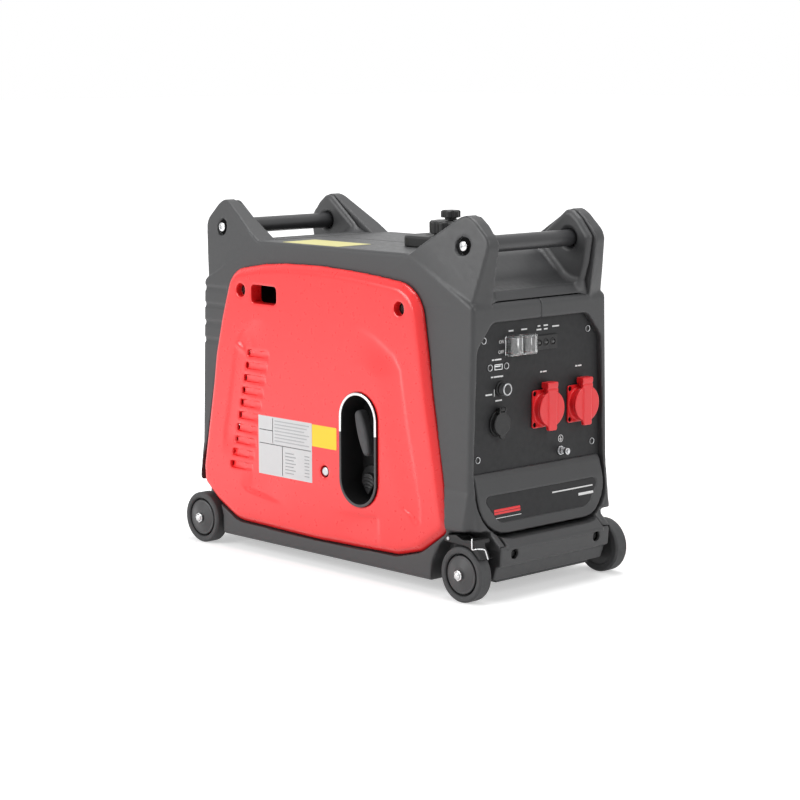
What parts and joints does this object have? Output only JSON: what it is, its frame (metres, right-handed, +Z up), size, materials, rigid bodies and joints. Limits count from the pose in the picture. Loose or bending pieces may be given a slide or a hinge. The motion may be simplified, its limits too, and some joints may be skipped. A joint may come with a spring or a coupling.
{
  "type": "portable inverter generator",
  "caption": "Portable inverter generator in a closed plastic casing with carrying handles, a recoil starter, a socket panel and fixed wheels.",
  "frame": {"origin": "on the ground under the middle of the machine, at the bottom centre of its bounding box", "axes": "+X towards the end with the control panel, -Y towards the side with the recoil starter, +Z up"},
  "size_m": [0.596, 0.3, 0.4923],
  "materials": {
    "casing": "fine grain",
    "cover_red": "satin",
    "panel": "fine grain",
    "trim": "satin",
    "rubber": "matte",
    "tyre": "matte",
    "socket_red": "satin",
    "clear": "clear",
    "steel": "zinc plated",
    "cast_metal": "as cast",
    "exhaust_steel": "heat stained",
    "tank": "painted",
    "rope": "braided"
  },
  "bodies": {
    "machine": {"left_shell": "casing", "right_shell": "casing", "handle_insert_front": "casing", "handle_insert_rear": "casing", "handle_bar_front": "trim", "handle_bar_rear": "trim", "handle_bolt_front_left": "steel", "handle_bolt_front_right": "steel", "handle_bolt_rear_left": "steel", "handle_bolt_rear_right": "steel", "service_cover_left": "cover_red", "service_cover_right": "cover_red", "control_panel": "panel", "front_lower_cover": "casing", "front_bumper": "casing", "rear_bumper": "casing", "rear_grille": "trim", "base_pan": "steel", "axle_front": "steel", "axle_rear": "steel", "brake_pin": "steel", "rocker_boot": "clear", "indicator_block": "trim", "usb_port": "trim", "dc_socket": "trim", "mains_socket_1": "socket_red", "mains_socket_2": "socket_red", "ground_stud": "steel", "filler_base": "trim", "fuel_tank": "tank", "starter_bezel": "trim", "starter_rope": "rope", "engine_block": "cast_metal", "alternator_housing": "cast_metal", "muffler": "exhaust_steel", "inverter_module": "cast_metal"},
    "wheel_front_left": {"tyre_front_left": "tyre", "hub_front_left": "trim"},
    "wheel_front_right": {"tyre_front_right": "tyre", "hub_front_right": "trim"},
    "wheel_rear_left": {"tyre_rear_left": "tyre", "hub_rear_left": "trim"},
    "wheel_rear_right": {"tyre_rear_right": "tyre", "hub_rear_right": "trim"},
    "brake": {"brake_lever": "trim", "brake_wire": "steel"},
    "rocker_eco_body": {"rocker_eco": "trim"},
    "rocker_engine_body": {"rocker_engine": "trim"},
    "breaker_button_body": {"breaker_button": "steel"},
    "dc_socket_cap_body": {"dc_socket_cap": "rubber"},
    "mains_lid_1_body": {"mains_lid_1": "socket_red"},
    "mains_lid_2_body": {"mains_lid_2": "socket_red"},
    "ground_nut_body": {"ground_nut": "steel"},
    "cap_lift": {"fuel_cap_seal": "rubber"},
    "cap": {"fuel_cap": "trim"},
    "vent": {"vent_knob": "trim"},
    "starter": {"starter_grip": "rubber"},
    "pulley": {"recoil_pulley": "trim"},
    "choke": {"choke_dial": "trim"},
    "crank": {"crank_rotor": "steel"}
  },
  "joints": [
    {"name": "wheel_front_left_spin", "type": "hinge", "parent": "machine", "child": "wheel_front_left", "pos_m": [0.2616, -0.13, 0.0362], "axis": [0, 1, 0], "continuous": true},
    {"name": "wheel_front_right_spin", "type": "hinge", "parent": "machine", "child": "wheel_front_right", "pos_m": [0.2616, 0.13, 0.0362], "axis": [0, 1, 0], "continuous": true},
    {"name": "wheel_rear_left_spin", "type": "hinge", "parent": "machine", "child": "wheel_rear_left", "pos_m": [-0.2616, -0.13, 0.0362], "axis": [0, 1, 0], "continuous": true},
    {"name": "wheel_rear_right_spin", "type": "hinge", "parent": "machine", "child": "wheel_rear_right", "pos_m": [-0.2616, 0.13, 0.0362], "axis": [0, 1, 0], "continuous": true},
    {"name": "brake_release", "type": "hinge", "parent": "machine", "child": "brake", "pos_m": [0.237, -0.125, 0.08], "axis": [0, -1, 0], "range_deg": [0, 8]},
    {"name": "eco_rocker", "type": "hinge", "parent": "machine", "child": "rocker_eco_body", "pos_m": [0.26, -0.0474, 0.3226], "axis": [0, 1, 0], "range_deg": [0, 20]},
    {"name": "engine_rocker", "type": "hinge", "parent": "machine", "child": "rocker_engine_body", "pos_m": [0.26, -0.0216, 0.3223], "axis": [0, 1, 0], "range_deg": [0, 20]},
    {"name": "breaker_push", "type": "slide", "parent": "machine", "child": "breaker_button_body", "axis": [-1, 0, 0], "range_m": [0, 0.003], "stiffness_N_per_m": 300},
    {"name": "dc_cap_open", "type": "hinge", "parent": "machine", "child": "dc_socket_cap_body", "pos_m": [0.2675, -0.072, 0.243], "axis": [0, -1, 0], "range_deg": [0, 120]},
    {"name": "mains_lid_1_open", "type": "hinge", "parent": "machine", "child": "mains_lid_1_body", "pos_m": [0.269, 0.015, 0.2655], "axis": [0, -1, 0], "range_deg": [0, 100], "stiffness_Nm_per_rad": 0.01},
    {"name": "mains_lid_2_open", "type": "hinge", "parent": "machine", "child": "mains_lid_2_body", "pos_m": [0.269, 0.083, 0.2655], "axis": [0, -1, 0], "range_deg": [0, 100], "stiffness_Nm_per_rad": 0.01},
    {"name": "ground_nut_turn", "type": "hinge", "parent": "machine", "child": "ground_nut_body", "pos_m": [0.2715, 0.047, 0.175], "axis": [1, 0, 0], "continuous": true},
    {"name": "fuel_cap_lift", "type": "slide", "parent": "machine", "child": "cap_lift", "axis": [0, 0, 1], "range_m": [0, 0.04]},
    {"name": "fuel_cap_turn", "type": "hinge", "parent": "cap_lift", "child": "cap", "pos_m": [0.102, 0, 0.465], "axis": [0, 0, 1], "range_deg": [0, 90]},
    {"name": "vent_knob_turn", "type": "hinge", "parent": "cap", "child": "vent", "pos_m": [0.102, 0, 0.48], "axis": [0, 0, 1], "range_deg": [0, 90]},
    {"name": "starter_pull", "type": "slide", "parent": "machine", "child": "starter", "axis": [0, -1, 0], "range_m": [0, 0.6], "stiffness_N_per_m": 15, "deforming": ["starter_rope"]},
    {"name": "recoil_pulley_turn", "type": "hinge", "parent": "machine", "child": "pulley", "pos_m": [0.066, 0, 0.157], "axis": [1, 0, 0], "range_deg": [0, 910]},
    {"name": "choke_dial_turn", "type": "hinge", "parent": "machine", "child": "choke", "pos_m": [0.062, -0.0998, 0.128], "axis": [0, 1, 0], "range_deg": [0, 120]},
    {"name": "crank_spin", "type": "hinge", "parent": "machine", "child": "crank", "pos_m": [0, 0, 0.157], "axis": [1, 0, 0], "continuous": true}
  ],
  "couplings": [
    {"joint": "recoil_pulley_turn", "follows": "starter_pull", "rad_per_m": 26.316}
  ]
}
